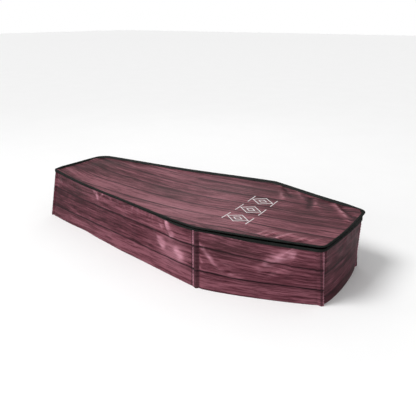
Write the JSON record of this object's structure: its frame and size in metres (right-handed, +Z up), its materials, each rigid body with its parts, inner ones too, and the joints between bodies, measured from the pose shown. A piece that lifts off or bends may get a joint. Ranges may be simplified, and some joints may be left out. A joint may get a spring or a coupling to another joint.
{
  "type": "collapsible coffin",
  "caption": "Light tapered hexagonal coffin of printed cloth: a lid stretched on a wire hoop rests on a box of cloth walls held up by loose rods in its corner sleeves, which folds away flat.",
  "frame": {"origin": "on the ground, below the middle of the coffin's length and width", "axes": "+X from the foot to the head, +Y to the coffin's left side, +Z up"},
  "size_m": [1.5732, 0.7049, 0.255],
  "materials": {
    "printed_cloth": "smooth semi-glossy polyester cloth with a printed grain of mauve and plum planks",
    "floor_cloth": "plain dark lining cloth",
    "binding_tape": "ribbed black woven tape",
    "hoop_wire": "drawn spring wire",
    "rod_resin": "dark grey resin rod"
  },
  "bodies": {
    "root": {"lid_cloth": "printed_cloth", "lid_hoop": "hoop_wire", "lid_binding": "binding_tape", "rim_hoop": "hoop_wire", "rim_binding": "binding_tape", "side_panel_right": "printed_cloth", "shoulder_panel_right": "printed_cloth", "head_panel": "printed_cloth", "shoulder_panel_left": "printed_cloth", "side_panel_left": "printed_cloth", "foot_panel": "printed_cloth", "corner_sleeve_foot_right": "printed_cloth", "corner_sleeve_shoulder_right": "printed_cloth", "corner_sleeve_head_right": "printed_cloth", "corner_sleeve_head_left": "printed_cloth", "corner_sleeve_shoulder_left": "printed_cloth", "corner_sleeve_foot_left": "printed_cloth", "corner_rod_foot_right": "rod_resin", "corner_rod_shoulder_right": "rod_resin", "corner_rod_head_right": "rod_resin", "corner_rod_head_left": "rod_resin", "corner_rod_shoulder_left": "rod_resin", "corner_rod_foot_left": "rod_resin", "floor_cloth": "floor_cloth"}
  },
  "joints": []
}
